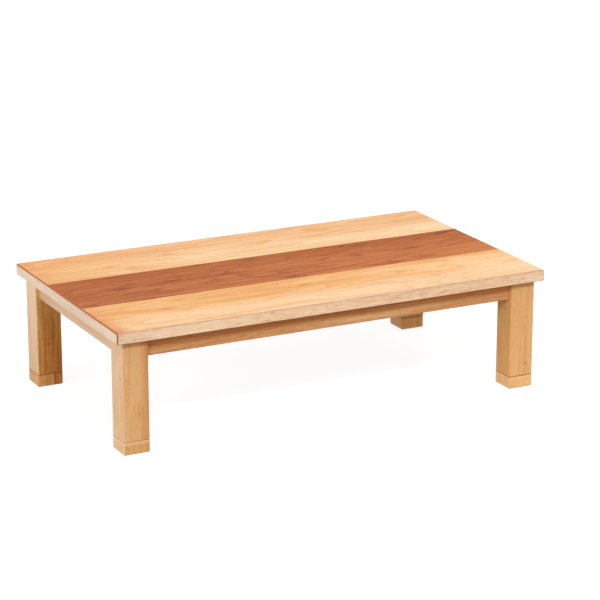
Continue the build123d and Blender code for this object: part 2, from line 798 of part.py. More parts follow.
# ------------------------------------------------------------------ quartz tubes
holder_height = 2 * (tube_radius + holder_fit + holder_wall)
tube_z = reflector_rim + holder_height / 2
tube_half = inner_wall - tube_end_gap
tube_planes = {
    "front": Plane(origin=(0, -tube_spacing / 2, tube_z), z_dir=(1, 0, 0)),
    "back": Plane(origin=(0, tube_spacing / 2, tube_z), z_dir=(1, 0, 0)),
}
for tube_name, tube_plane in tube_planes.items():
    with BuildPart() as tube:
        with BuildSketch(tube_plane):
            Circle(tube_radius)
            Circle(tube_radius - tube_wall, mode=Mode.SUBTRACT)
        extrude(amount=tube_half, both=True)
    save(tube, f"quartz_tube_{tube_name}")

with BuildPart() as heating_coils:
    for tube_plane in tube_planes.values():
        with BuildSketch(tube_plane):
            Circle(tube_radius - tube_wall - coil_gap)
        extrude(amount=tube_half - coil_setback, both=True)
save(heating_coils, "heating_coils")

with BuildPart() as tube_holders:
    for side in (-1, 1):
        for tube_plane in tube_planes.values():
            with Locations((side * (inner_wall - holder_depth / 2), tube_plane.origin.Y, tube_z)):
                Box(holder_depth, holder_width, holder_height)
    fillet(tube_holders.edges().filter_by(Axis.X), radius=tube_wall * 3)
    for side in (-1, 1):
        mouths = [
            Plane(origin=(side * (inner_wall - holder_depth), plane.origin.Y, tube_z), z_dir=(-side, 0, 0))
            for plane in tube_planes.values()
        ]
        with Locations(*mouths):
            Hole(tube_radius + holder_fit, depth=holder_depth - tube_end_gap)
save(tube_holders, "tube_holders")

# ------------------------------------------------------------------ fan
motor_bottom = ceiling - motor_height - motor_boss_height
wheel_top = motor_bottom - wheel_gap
hub_bottom = wheel_top - hub_height
shaft_bottom = hub_bottom - 2 * clip_height
shaft_top = ceiling - motor_boss_height

with BuildPart() as fan_motor:
    with BuildSketch(Plane.XY.offset(ceiling)):
        Circle(motor_radius)
    extrude(amount=-motor_height)
    fillet(fan_motor.faces().sort_by(Axis.Z)[0].edges(), radius=motor_boss_height)
    with BuildSketch(Plane.XY.offset(motor_bottom)):
        Circle(motor_boss_radius)
    extrude(amount=motor_boss_height)
    with Locations(Plane(origin=(0, 0, motor_bottom), z_dir=(0, 0, -1))):
        Hole(shaft_radius + shaft_running_gap, depth=motor_height)
    with Locations(*motor_seats):
        Hole(motor_screw_radius + screw_fit, depth=motor_screw_length)
save(fan_motor, "fan_motor")

with BuildPart() as motor_screws:
    drive_screws(
        motor_seats,
        head_radius=2 * motor_screw_radius,
        head_height=motor_screw_radius,
        radius=motor_screw_radius,
        length=motor_screw_length,
    )
save(motor_screws, "motor_screws")

with BuildPart() as fan_shaft:
    with BuildSketch(Plane.XY.offset(shaft_bottom)):
        Circle(shaft_radius)
    extrude(amount=shaft_top - shaft_bottom)
save(fan_shaft, "fan_shaft")

# Each blade starts along the radius at its root and curves away.
blade_line = CenterArc((blade_root, blade_arc_radius), blade_arc_radius, -90, blade_arc)

with BuildPart() as fan_wheel:
    with BuildSketch(Plane.XY.offset(wheel_top)):
        Circle(wheel_radius)
    extrude(amount=-wheel_disc)
    with BuildSketch(Plane.XY.offset(wheel_top)):
        Circle(hub_radius)
    extrude(amount=-hub_height)
    with BuildSketch(Plane.XY.offset(wheel_top - wheel_disc)):
        with PolarLocations(0, blade_count):
            SlotArc(blade_line, blade_thickness)
    extrude(amount=-blade_height)
    with Locations((0, 0, wheel_top)):
        Hole(shaft_radius, depth=hub_height)
save(fan_wheel, "fan_wheel")

with BuildPart() as fan_clip:
    with BuildSketch(Plane.XY.offset(hub_bottom)):
        Circle(clip_radius)
        Circle(shaft_radius, mode=Mode.SUBTRACT)
    extrude(amount=-clip_height)
save(fan_clip, "fan_clip")

# ------------------------------------------------------------------ heater electrics
reflector_back = reflector_roof + reflector_sheet

with BuildPart() as thermostat:
    with BuildSketch(Plane.XY.offset(reflector_back)):
        with Locations(thermostat_place):
            Circle(thermostat_base_radius)
    extrude(amount=thermostat_base)
    with BuildSketch(Plane.XY.offset(reflector_back + thermostat_base)):
        with Locations(thermostat_place):
            Circle(thermostat_radius)
    extrude(amount=thermostat_height)
save(thermostat, "thermostat")

with BuildPart() as thermal_fuse:
    with BuildSketch(Plane(origin=(*fuse_place, reflector_back + fuse_radius), z_dir=(1, 0, 0))):
        Circle(fuse_radius)
    extrude(amount=fuse_length / 2, both=True)
save(thermal_fuse, "thermal_fuse")

with BuildPart() as terminal_block:
    with BuildSketch(Plane.XY.offset(ceiling)):
        with Locations(terminal_place):
            Rectangle(terminal_length, terminal_width)
    extrude(amount=-terminal_height)
    with BuildSketch(Plane.XY.offset(ceiling - terminal_height)):
        with Locations(terminal_place):
            with GridLocations(terminal_pitch, 0, 3, 1):
                Circle(terminal_well_radius)
    extrude(amount=terminal_well_depth, mode=Mode.SUBTRACT)
save(terminal_block, "terminal_block")

cavity_depth = inlet_depth + inlet_bezel - inlet_wall
with BuildPart() as power_inlet:
    with BuildSketch(inlet_face) as inlet_border:
        Rectangle(inlet_width + 2 * inlet_bezel_border, inlet_height + 2 * inlet_bezel_border)
        fillet(inlet_border.vertices(), radius=inlet_bezel_border)
    extrude(amount=inlet_bezel)
    with BuildSketch(inlet_face):
        Rectangle(inlet_width, inlet_height)
    extrude(amount=-inlet_depth)
    with BuildSketch(inlet_face.offset(inlet_bezel)):
        RectangleRounded(inlet_width - 2 * inlet_wall, inlet_height - 2 * inlet_wall, inlet_bezel_border)
    extrude(amount=-cavity_depth, mode=Mode.SUBTRACT)
save(power_inlet, "power_inlet")

with BuildPart() as inlet_pins:
    with BuildSketch(inlet_face.offset(inlet_bezel - cavity_depth)):
        with Locations(*[(x, 0) for x in centred_steps(2, pin_spacing)]):
            Circle(pin_radius)
    extrude(amount=pin_length)
save(inlet_pins, "inlet_pins")

# ------------------------------------------------------------------ heater leads
# From the inlet to the terminal block, and from there to the motor, the left ends of the tubes,
# and by way of the thermostat and the fuse to their right ends.
block_x, block_y = terminal_place
block_end = terminal_length / 2
block_side_y = block_y + terminal_width / 2
block_level = ceiling - terminal_height / 2
lead_level = ceiling - lead_below_ceiling - lead_radius
inlet_back_y = inlet_depth - case_side / 2
thermostat_x, thermostat_y = thermostat_place
thermostat_top = reflector_back + thermostat_base + thermostat_height
fuse_x, fuse_y = fuse_place
fuse_level = reflector_back + fuse_radius
round_fan_y = fan_opening_radius + lead_round_fan
holder_y = tube_spacing / 2
holder_mid_x = inner_wall - holder_depth / 2
holder_top = tube_z + holder_height / 2
above_holder = holder_top + lead_rise


def lead(*points):
    """Adds a lead that follows the points with rounded turns."""
    with BuildLine() as path:
        FilletPolyline(*points, radius=lead_bend)
    with BuildSketch(Plane(origin=path.line @ 0, z_dir=path.line % 0)) as section:
        Circle(lead_radius)
    sweep(section.sketch, path=path.line)


with BuildPart() as heater_leads:
    for side in (-1, 1):
        # Inlet to terminal block.
        pin_x = inlet_place + side * pin_spacing / 2
        row_y = block_y + side * lead_pitch / 2
        lead(
            (pin_x, inlet_back_y, inlet_z),
            (pin_x, row_y - lead_slant, inlet_z),
            (pin_x - lead_slant, row_y, block_level),
            (block_x + block_end, row_y, block_level),
        )
        # Terminal block to motor, which the leads meet square to its side.
        motor_lead_x = block_x + terminal_pitch / 2
        offset_x = side * lead_pitch / 2
        meeting = -motor_radius / sqrt(2)
        lead(
            (motor_lead_x + offset_x, block_side_y, block_level),
            (motor_lead_x + offset_x, motor_lead_x, block_level),
            (meeting + offset_x / 2, meeting - offset_x / 2, block_level),
        )
        # From the back tube's end to the front tube's, on the left and on the right.
        link_x = side * (holder_mid_x + lead_pitch / 2 - lead_radius)
        lead(
            (link_x, -holder_y, holder_top),
            (link_x, -holder_y, above_holder),
            (link_x, holder_y, above_holder),
            (link_x, holder_y, holder_top),
        )
    tap_x = holder_mid_x - lead_pitch / 2
    # Terminal block to the left ends of the tubes.
    lead(
        (block_x - block_end, block_y, block_level),
        (block_x - block_end - lead_straight, block_y, block_level),
        (lead_slant - tap_x, -holder_y, above_holder),
        (-tap_x, -holder_y, above_holder),
        (-tap_x, -holder_y, holder_top),
    )
    # Terminal block to thermostat.
    first_terminal_x = block_x - terminal_pitch
    thermostat_in_x = thermostat_x - lead_pitch / 2 + lead_radius
    lead(
        (first_terminal_x, block_side_y, block_level),
        (first_terminal_x, block_side_y + lead_straight, block_level),
        (thermostat_in_x, block_side_y + 2 * lead_straight, lead_level),
        (thermostat_in_x, thermostat_y, lead_level),
        (thermostat_in_x, thermostat_y, thermostat_top),
    )
    # Thermostat to fuse, round the fan's opening.
    thermostat_out_x = thermostat_x + lead_pitch / 2 - lead_radius
    fuse_in_x = fuse_x - fuse_length / 2 - lead_straight
    lead(
        (thermostat_out_x, thermostat_y, thermostat_top),
        (thermostat_out_x, thermostat_y, lead_level),
        (thermostat_out_x + lead_slant, round_fan_y, lead_level),
        (fuse_in_x - lead_slant, round_fan_y, lead_level),
        (fuse_in_x, fuse_y, fuse_level),
        (fuse_x - fuse_length / 2, fuse_y, fuse_level),
    )
    # Fuse to the right ends of the tubes.
    lead(
        (fuse_x + fuse_length / 2, fuse_y, fuse_level),
        (fuse_x + fuse_length / 2 + lead_straight, fuse_y, fuse_level),
        (tap_x - lead_slant, holder_y, above_holder),
        (tap_x, holder_y, above_holder),
        (tap_x, holder_y, holder_top),
    )
save(heater_leads, "heater_leads")
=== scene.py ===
import json
import math

import bmesh
import bpy
from mathutils import Matrix, Vector


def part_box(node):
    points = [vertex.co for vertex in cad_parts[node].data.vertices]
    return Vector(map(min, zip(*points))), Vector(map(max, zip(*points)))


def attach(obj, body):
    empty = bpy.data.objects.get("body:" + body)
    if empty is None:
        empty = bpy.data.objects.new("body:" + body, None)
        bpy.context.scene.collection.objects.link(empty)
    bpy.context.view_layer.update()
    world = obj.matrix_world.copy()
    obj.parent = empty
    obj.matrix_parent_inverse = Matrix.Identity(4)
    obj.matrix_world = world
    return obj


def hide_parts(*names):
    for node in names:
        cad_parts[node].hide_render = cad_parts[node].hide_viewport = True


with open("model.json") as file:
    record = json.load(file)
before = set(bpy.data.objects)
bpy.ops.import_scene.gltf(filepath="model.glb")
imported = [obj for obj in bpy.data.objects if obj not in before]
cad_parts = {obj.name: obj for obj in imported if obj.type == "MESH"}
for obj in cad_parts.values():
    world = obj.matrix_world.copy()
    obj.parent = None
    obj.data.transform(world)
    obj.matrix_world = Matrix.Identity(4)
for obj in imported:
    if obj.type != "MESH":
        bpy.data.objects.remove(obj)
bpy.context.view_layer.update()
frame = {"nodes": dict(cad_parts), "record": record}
nodes = frame["nodes"]

MM = 0.001


def srgb(red, green, blue):
    """A display colour, 0 to 255 a channel, as the linear colour that shaders take, by the sRGB standard's curve."""
    linear = []
    for channel in (red, green, blue):
        value = channel / 255
        linear.append(value / 12.92 if value <= 0.04045 else ((value + 0.055) / 1.055) ** 2.4)
    return (*linear, 1.0)


# ------------------------------------------------------------------ shader helpers

COLOUR_MIX_INPUTS = (0, 6, 7)    # the Mix node has a set of sockets for each type of data, and these are the colour's
COLOUR_MIX_OUTPUT = 2
MIDDLE = (0.3, 0.7)              # most of a noise lies between these


class Nodes:
    """A node tree, with short calls that add to it."""

    def __init__(self, tree):
        self.tree = tree

    def feed(self, socket, value):
        """Gives a socket a value or another node's output."""
        if isinstance(value, bpy.types.NodeSocket):
            self.tree.links.new(value, socket)
        elif value is not None:
            socket.default_value = value

    def node(self, kind, *inputs, **settings):
        """Adds a node; inputs are values or outputs in the order of its sockets, None leaving one as it is."""
        added = self.tree.nodes.new("ShaderNode" + kind)
        for setting, value in settings.items():
            setattr(added, setting, value)
        for socket, value in zip(added.inputs, inputs):
            self.feed(socket, value)
        return added

    def places(self):
        """Where a point is in the part's own frame, in metres, which it keeps as its body moves."""
        return self.node("TexCoord").outputs["Object"]

    def maths(self, operation, *values):
        """A number worked out from others."""
        return self.node("Math", *values, operation=operation).outputs[0]

    def vector(self, operation, *vectors):
        """A vector worked out from others, or the length of one."""
        made = self.node("VectorMath", *vectors, operation=operation)
        return made.outputs["Value" if operation == "LENGTH" else "Vector"]

    def noise(self, place, size, detail=2.0, roughness=0.5):
        """Noise whose blotches are about as large as size, which is one length or one for each axis."""
        sizes = size if isinstance(size, tuple) else (size, size, size)
        scaled = self.vector("MULTIPLY", place, tuple(1 / length for length in sizes))
        no_phase, one_to_one = None, 1.0
        return self.node("TexNoise", scaled, no_phase, one_to_one, detail, roughness).outputs["Fac"]

    def spread(self, value, low, high, start=0.0, end=1.0):
        """Maps low to high onto start to end, and holds what lies outside."""
        return self.node("MapRange", value, low, high, start, end).outputs[0]

    def ramp(self, value, *stops):
        """A colour for the value, from stops of place and colour."""
        added = self.node("ValToRGB", value)
        elements = added.color_ramp.elements
        while len(elements) < len(stops):
            elements.new(0.5)         # anywhere, as each gets its place below
        for element, (place, colour) in zip(elements, stops):
            element.position = place
            element.color = colour
        return added.outputs["Color"]

    def mix(self, share, first, second):
        """Blends two colours; share is how much of the second there is."""
        added = self.node("Mix", data_type="RGBA")
        factor, first_colour, second_colour = (added.inputs[index] for index in COLOUR_MIX_INPUTS)
        self.feed(factor, share)
        self.feed(first_colour, first)
        self.feed(second_colour, second)
        return added.outputs[COLOUR_MIX_OUTPUT]

    def seen(self):
        """1 for rays that show the surface by itself, in a mirror or through glass, and 0 for those that light."""
        path = self.node("LightPath").outputs
        mirrored = self.maths("MAXIMUM", path["Is Glossy Ray"], path["Is Transmission Ray"])
        return self.maths("MAXIMUM", path["Is Camera Ray"], mirrored)


class Finish(Nodes):
    """A material on the Principled shader."""

    def __init__(self, name, colour, roughness, **sockets):
        self.material = bpy.data.materials.new(name)
        self.material.use_nodes = True
        self.material.diffuse_color = colour
        super().__init__(self.material.node_tree)
        self.shader = self.tree.nodes["Principled BSDF"]
        self.put("Base Color", colour)
        self.put("Roughness", roughness)
        for socket, value in sockets.items():
            self.put(socket.replace("_", " "), value)

    def put(self, socket, value):
        """Gives one of the shader's sockets a value or another node's output."""
        self.feed(self.shader.inputs[socket], value)

    def bump(self, height, depth, strength=1.0):
        """Relief of that depth in metres where height goes from 0 to 1."""
        self.put("Normal", self.node("Bump", strength, depth, None, height).outputs["Normal"])


# ------------------------------------------------------------------ wood

GRAIN_AXES = {"x": ("X", "Y", "Z"), "y": ("Y", "X", "Z"), "z": ("Z", "X", "Y")}    # along the grain, then across it
TONE_STOPS = (0.05, 0.45, 0.95)  # where the palest, middle and darkest colours stand on the tone
LACQUER_IOR = 1.5
GRAIN_DEPTH = 0.06 * MM          # of the pores
FIBRE_HEIGHT = 0.3               # share of that depth by which the fibres stand up
PORE_SIZE = (0.011, 0.0006)      # metres along and across the grain, as are all sizes of marks
PORE_REACH = (0.60, 0.72)        # of the noise: where a mark begins and where it is full
PORE_SHARE = 0.25
CURL_REACH = (0.60, 0.74)
FIBRE_REACH = (0.25, 0.75)
BROAD_SIZE = (0.8, 0.12)
SWAY_SIZE = (0.35, 0.07)
SWAY_REACH = (0.2, 0.8)
SWAY = 8 * MM                    # how far the grain wanders off its line to each side
KNOT_RINGS = 2.6                 # contour lines that a knot draws round itself


def grain_frame(finish, along, shift):
    """The place in the board's own axes: along the grain, then the two axes across it."""
    split = finish.node("SeparateXYZ", finish.places()).outputs
    joined = finish.node("CombineXYZ", *(split[axis] for axis in GRAIN_AXES[along])).outputs[0]
    return finish.vector("ADD", joined, shift)


def grain_noise(finish, place, size, detail=1.0, roughness=0.5):
    """Noise whose blotches are as long and as wide as size."""
    length, width = size
    return finish.noise(place, (length, width, width), detail, roughness)


def knot_field(finish, place, knots, along, shift):
    """How near the place is to the knots: 1 at a knot's heart, falling to 0 over its length and width."""
    total = 0.0
    for centre, length, width in knots:
        ordered = [centre["XYZ".index(axis)] + step for axis, step in zip(GRAIN_AXES[along], shift)]
        offset = finish.vector("SUBTRACT", place, tuple(ordered))
        scaled = finish.vector("MULTIPLY", offset, (1 / length, 1 / width, 1 / width))
        squared = finish.maths("POWER", finish.vector("LENGTH", scaled), 2.0)
        near = finish.maths("EXPONENT", finish.maths("MULTIPLY", squared, -1.0))
        total = finish.maths("ADD", total, near)
    return total


def wood(name, along, tones, shift=(0, 0, 0), knots=(), broad=0.0, figure=0.30, streak=0.35, fibre=0.2, curls=0.0,
         figure_size=(0.9, 0.13), streak_size=(0.5, 0.012), fibre_size=(0.09, 0.0011), curl_size=(0.022, 0.006),
         rings=7.0, crisp=2.2, knot_depth=0.45, drift=0.0, drift_range=(-0.75, 0.75), roughness=0.42, gloss=0.35,
         relief=0.6, deep=None, layers=(), ends=()):
    """Lacquered wood with its grain along an axis, coloured from its palest tone to its darkest.

    shift is where in the noise the board is cut from. broad is the share of the wide soft bands, figure of the
    flat-sawn contour lines, streak of the long bands, fibre of the fine lines and curls of the short soft marks.
    deep is the pores' colour. rings is how many contour lines there are and crisp how thin they are. knots are
    places in the part, each with the knot's length and width, and knot_depth is how dark they are. drift is how much
    darker the board is at the low end of drift_range, a run along the grain. layers are other tones over the grain,
    from growth layers and from painted light, shade and sheen: the tones of each, an axis of the part, and the two
    places on it between which the layer takes over. ends are places along the grain near which the colour changes:
    stained sawn ends, a painted highlight on an edge, and end stain with painted shade at the feet. Each has its
    place, how far the change reaches, how strong it is, and the tone that it turns to. relief is how strong the
    grain's bump is."""
    finish = Finish(name, tones[1], roughness, IOR=LACQUER_IOR, Specular_IOR_Level=gloss)
    place = grain_frame(finish, along, shift)
    sway = finish.spread(grain_noise(finish, place, SWAY_SIZE), *SWAY_REACH, -SWAY, SWAY)
    swayed = finish.vector("ADD", place, finish.node("CombineXYZ", 0.0, sway, sway).outputs[0])
    near_knot = knot_field(finish, place, knots, along, shift) if knots else 0.0

    hills = grain_noise(finish, swayed, figure_size, detail=1.5, roughness=0.35)
    rise = finish.maths("ADD", finish.maths("MULTIPLY", hills, rings), finish.maths("MULTIPLY", near_knot, KNOT_RINGS))
    contours = finish.maths("POWER", finish.maths("FRACT", rise), crisp)
    bands = finish.spread(grain_noise(finish, swayed, streak_size, detail=3.0, roughness=0.55), *MIDDLE)
    fibres = finish.spread(grain_noise(finish, swayed, fibre_size, detail=2.0, roughness=0.6), *FIBRE_REACH)
    pores = finish.spread(grain_noise(finish, swayed, PORE_SIZE), *PORE_REACH)

    marks = [(contours, figure), (bands, streak), (fibres, fibre), (near_knot, knot_depth)]
    if broad:
        marks.append((finish.spread(grain_noise(finish, swayed, BROAD_SIZE), *MIDDLE), broad))
    if curls:
        marks.append((finish.spread(grain_noise(finish, swayed, curl_size), *CURL_REACH), curls))
    tone = 0.0
    for mark, share in marks:
        tone = finish.maths("ADD", tone, finish.maths("MULTIPLY", mark, share))
    part_axes = finish.node("SeparateXYZ", finish.places()).outputs
    run = part_axes[along.upper()]
    if drift:
        tone = finish.maths("ADD", tone, finish.spread(run, *drift_range, drift / 2, -drift / 2))

    colour = finish.ramp(tone, *zip(TONE_STOPS, tones))
    for layer_tones, axis, before, after in layers:
        share = finish.spread(part_axes[axis], before, after)
        colour = finish.mix(share, colour, finish.ramp(tone, *zip(TONE_STOPS, layer_tones)))
    colour = finish.mix(finish.maths("MULTIPLY", pores, PORE_SHARE), colour, deep or tones[2])
    for end, reach, strength, end_tone in ends:
        away = finish.maths("ABSOLUTE", finish.maths("SUBTRACT", run, end))
        colour = finish.mix(finish.spread(away, reach / 2, reach, strength, 0.0), colour, end_tone)
    finish.put("Base Color", colour)
    finish.put("Roughness", finish.spread(fibres, 0.0, 1.0, roughness - 0.04, roughness + 0.06))
    raised = finish.maths("MULTIPLY", fibres, FIBRE_HEIGHT)
    finish.bump(finish.maths("SUBTRACT", raised, pores), GRAIN_DEPTH, relief)
    return finish.material


# Each wood's palest, middle and darkest colour.
PALE_FRONT = (srgb(235, 201, 154), srgb(219, 166, 100), srgb(206, 129, 54))
PALE_FRONT_MARGIN = (srgb(238, 214, 182), srgb(228, 195, 151), srgb(214, 146, 80))
PALE_BACK = (srgb(237, 216, 184), srgb(224, 190, 141), srgb(210, 144, 78))
PALE_BACK_MARGIN = (srgb(230, 200, 162), srgb(217, 169, 113), srgb(203, 130, 60))
PALE_BACK_LEFT = (srgb(229, 190, 142), srgb(215, 159, 93), srgb(201, 121, 44))
PALE_END = (srgb(224, 184, 134), srgb(209, 151, 88), srgb(193, 115, 48))
DARK = (srgb(203, 132, 80), srgb(181, 107, 56), srgb(128, 66, 33))
DARK_BACK = (srgb(184, 110, 52), srgb(159, 84, 28), srgb(109, 49, 18))
EDGE = (srgb(248, 229, 204), srgb(236, 206, 172), srgb(196, 146, 100))
EDGE_CORNER = (srgb(238, 222, 199), srgb(226, 199, 167), srgb(187, 141, 97))
EDGE_LEFT = (srgb(230, 218, 202), srgb(221, 200, 177), srgb(194, 160, 127))
EDGE_LEFT_FRONT = (srgb(236, 225, 210), srgb(227, 207, 185), srgb(200, 167, 135))
LEG = (srgb(232, 188, 132), srgb(219, 167, 109), srgb(190, 130, 72))
# painted shade: the front right leg's inner face, darker
LEG_INSIDE_PAINTED_SHADE = (srgb(226, 176, 110), srgb(213, 155, 90), srgb(184, 119, 58))
NEAR_LEG = (srgb(226, 187, 137), srgb(214, 166, 112), srgb(188, 128, 73))
# painted light: the near leg's left face, paler
NEAR_LEG_LEFT_PAINTED_LIGHT = (srgb(229, 199, 158), srgb(217, 177, 130), srgb(194, 141, 92))
# painted light: the near leg's left face, paler towards its top
NEAR_LEG_TOP_PAINTED_LIGHT = (srgb(235, 209, 173), srgb(223, 188, 146), srgb(200, 152, 107))
NEAR_BLOCK = (srgb(217, 176, 120), srgb(205, 155, 97), srgb(180, 119, 63))
RED_LEG = (srgb(212, 162, 108), srgb(199, 141, 86), srgb(172, 106, 55))
# sapwood and painted light: the back left leg's left face, paler
SAP_AND_LIGHT_LEG = (srgb(226, 197, 166), srgb(214, 180, 144), srgb(184, 139, 99))
# sapwood and painted light: the back left leg's left face, paler towards its top
SAP_AND_LIGHT_LEG_TOP = (srgb(234, 206, 177), srgb(223, 190, 156), srgb(194, 150, 112))
# heartwood and painted shade: the back left leg and extension, darker on their fronts
HEART_AND_SHADE_LEG = (srgb(222, 168, 92), srgb(190, 122, 57), srgb(134, 72, 27))
HEART_AND_SHADE_LEG_EDGE = (srgb(236, 188, 122), srgb(212, 154, 88), srgb(156, 96, 44))
HEART_AND_SHADE_BLOCK = (srgb(234, 190, 122), srgb(207, 146, 82), srgb(156, 94, 46))
HEART_STRIPE = (srgb(214, 148, 88), srgb(180, 104, 56), srgb(132, 68, 36))
# sapwood and painted light: the back left extension's left face, paler
SAP_AND_LIGHT_BLOCK = (srgb(222, 178, 126), srgb(208, 157, 104), srgb(180, 122, 70))
BLOCK = (srgb(243, 198, 143), srgb(230, 180, 121), srgb(203, 138, 79))
# painted light: a paler, redder tone for the back right extension's front, which lies in shade
RED_BLOCK_PAINTED_LIGHT = (srgb(252, 201, 141), srgb(249, 185, 117), srgb(226, 141, 73))
APRON = (srgb(216, 166, 112), srgb(195, 138, 84), srgb(152, 90, 42))
SAP_APRON = (srgb(223, 194, 158), srgb(209, 174, 137), srgb(177, 133, 93))
SAP_APRON_FRONT = (srgb(230, 202, 167), srgb(216, 182, 145), srgb(184, 140, 100))
APRON_PALE = (srgb(226, 184, 131), srgb(207, 156, 103), srgb(165, 108, 58))
# painted shade: a darker, redder tone for the long aprons' upper part, where the top's overhang shades them
APRON_TOP_PAINTED_SHADE = (srgb(217, 154, 92), srgb(196, 125, 65), srgb(152, 80, 34))
CORE = (srgb(182, 108, 38), srgb(166, 88, 20), srgb(124, 60, 10))
# painted sheen: a paler, greyer tone for the core's chamfers other than the left one
CORE_PAINTED_SHEEN = (srgb(184, 139, 99), srgb(169, 125, 89), srgb(136, 97, 69))
RAIL = (srgb(236, 210, 174), srgb(222, 190, 148), srgb(192, 152, 106))
# stained end grain, also used at the feet for end stain with painted shade
END_TONE = srgb(138, 66, 34)
# painted highlight: the pale tone of the front extensions' top edges
HIGHLIGHT_TONE = srgb(252, 228, 194)

top_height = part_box("top_core")[1].z


def top_knots(*knots):
    """Knots on the top, from their places across it and their length and width."""
    return [((x, y, top_height), length, width) for x, y, length, width in knots]


pale_knots = top_knots((-0.50, 0.24, 0.026, 0.007), (-0.43, 0.21, 0.022, 0.006), (-0.27, 0.30, 0.026, 0.007),
                       (-0.45, -0.19, 0.022, 0.006), (-0.52, -0.26, 0.030, 0.008), (-0.02, -0.22, 0.028, 0.008))
dark_knots = top_knots((-0.56, 0.00, 0.040, 0.010), (-0.38, 0.01, 0.034, 0.008), (-0.01, -0.12, 0.032, 0.009),
                       (0.49, 0.00, 0.034, 0.009), (0.49, -0.11, 0.032, 0.008), (0.345, 0.11, 0.028, 0.008),
                       (0.68, 0.035, 0.032, 0.007))


def pale_wood(name, tones, drift, *layers):
    """The veneer of one pale field, which goes deeper at its left end, with layers of other tones."""
    return wood(name, "x", tones, knots=pale_knots, drift=drift, broad=0.24, figure=0.26, streak=0.17, fibre=0.20,
                curls=0.24, figure_size=(0.8, 0.09), rings=9.0, streak_size=(0.35, 0.011), gloss=0.06,
                deep=srgb(214, 142, 80), layers=(*layers, (PALE_END, "X", -0.69, -0.745)))


front_veneer = pale_wood("pale_veneer_front", PALE_FRONT, 0.30, (PALE_FRONT_MARGIN, "Y", -0.264, -0.335))
back_veneer = pale_wood("pale_veneer_back", PALE_BACK, 0.06, (PALE_BACK_MARGIN, "Y", 0.235, 0.285),
                        (PALE_BACK_LEFT, "X", -0.20, -0.75))
dark_veneer = wood("dark_veneer", "x", DARK, shift=(0.4, 0.2, 0), knots=dark_knots, drift=0.16, broad=0.16,
                   figure=0.44, streak=0.30, fibre=0.18, curls=0.22, figure_size=(0.6, 0.07), rings=11.0,
                   crisp=4.0, streak_size=(0.30, 0.014), gloss=0.02, layers=((DARK_BACK, "Y", -0.13, 0.13),))
edge_long = wood("edge_wood_long", "x", EDGE, shift=(0.1, 0.3, 0), broad=0.22, figure=0.20, streak=0.24, fibre=0.30,
                 curls=0.14, figure_size=(0.16, 0.022), streak_size=(0.07, 0.005), fibre_size=(0.024, 0.0022),
                 curl_size=(0.018, 0.004), layers=((EDGE_CORNER, "X", -0.50, -0.72),))
edge_short = wood("edge_wood_short", "y", EDGE_LEFT, shift=(0.3, 0.1, 0), broad=0.15, figure=0.14, streak=0.30,
                  fibre=0.30, curls=0.16, figure_size=(0.25, 0.03), streak_size=(0.10, 0.005),
                  fibre_size=(0.030, 0.0026), curl_size=(0.016, 0.004),
                  layers=((EDGE_LEFT_FRONT, "Y", -0.10, -0.36),))
# The long aprons' upper part takes a darker, redder tone: painted shade under the top's overhang.
apron_long = wood("apron_wood_long", "x", APRON, shift=(0.2, 0.1, 0), broad=0.15, figure=0.20, streak=0.30,
                  fibre=0.26, curls=0.20, figure_size=(0.8, 0.05), streak_size=(0.25, 0.007),
                  fibre_size=(0.03, 0.0026), layers=((APRON_PALE, "X", -0.15, 0.05), (APRON, "X", 0.10, 0.65),
                                                     (APRON_TOP_PAINTED_SHADE, "Z", 0.325, 0.345)))
apron_short = wood("apron_wood_short", "y", SAP_APRON, shift=(0.2, 0.1, 0), figure=0.26, streak=0.40,
                   figure_size=(0.8, 0.05), streak_size=(0.5, 0.006), layers=((SAP_APRON_FRONT, "Y", -0.05, -0.28),))
# The core shows at the chamfers; all but the left one take a paler, greyer tone, which is painted sheen.
core_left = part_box("top_core")[0].x
core_board = wood("core_board", "x", CORE, figure=0.2, streak=0.4, fibre=0.35, figure_size=(0.2, 0.02),
                  streak_size=(0.05, 0.003), roughness=0.16, gloss=0.25, relief=0.05,
                  layers=((CORE_PAINTED_SHEEN, "X", core_left + 5 * MM, core_left + 9 * MM),))    # all but the left chamfer
backing_sheet = wood("backing_sheet", "x", RAIL, shift=(0.7, 0.5, 0), figure=0.30, streak=0.35,
                     figure_size=(0.9, 0.12), roughness=0.6)
rail_wood = wood("rail_wood", "y", RAIL, shift=(0.2, 0.6, 0.1), figure=0.34, streak=0.35, figure_size=(0.6, 0.03),
                 streak_size=(0.4, 0.006), roughness=0.62)
dowel_wood = wood("dowel_wood", "z", RAIL, figure=0.1, streak=0.4, streak_size=(0.1, 0.002), roughness=0.6)

leg_knots = {           # places in the part, with each knot's length and width
    "front_right": (((0.698, -0.401, 0.082), 0.007, 0.006), ((0.640, -0.368, 0.270), 0.010, 0.005)),
    "front_left": (((-0.674, -0.401, 0.132), 0.030, 0.004),),
    "back_left": (), "back_right": (),
}
leg_drift = {"front_right": -0.10, "front_left": -0.10, "back_left": 0.34, "back_right": 0.0}
LEG_RUN = (0.05, 0.34)           # heights over which a leg's tone drifts
# Painted light: the upper part of the two left legs' left faces turns paler, against the shade under the top.
leg_tops_painted_light = {"front_left": NEAR_LEG_TOP_PAINTED_LIGHT, "back_left": SAP_AND_LIGHT_LEG_TOP}
LEG_TOP_LIGHT_RUN = (0.20, 0.31)       # heights over which a leg takes on the tones of its top
left_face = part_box("leg_front_left")[0].x
inner_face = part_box("leg_front_right")[0].x
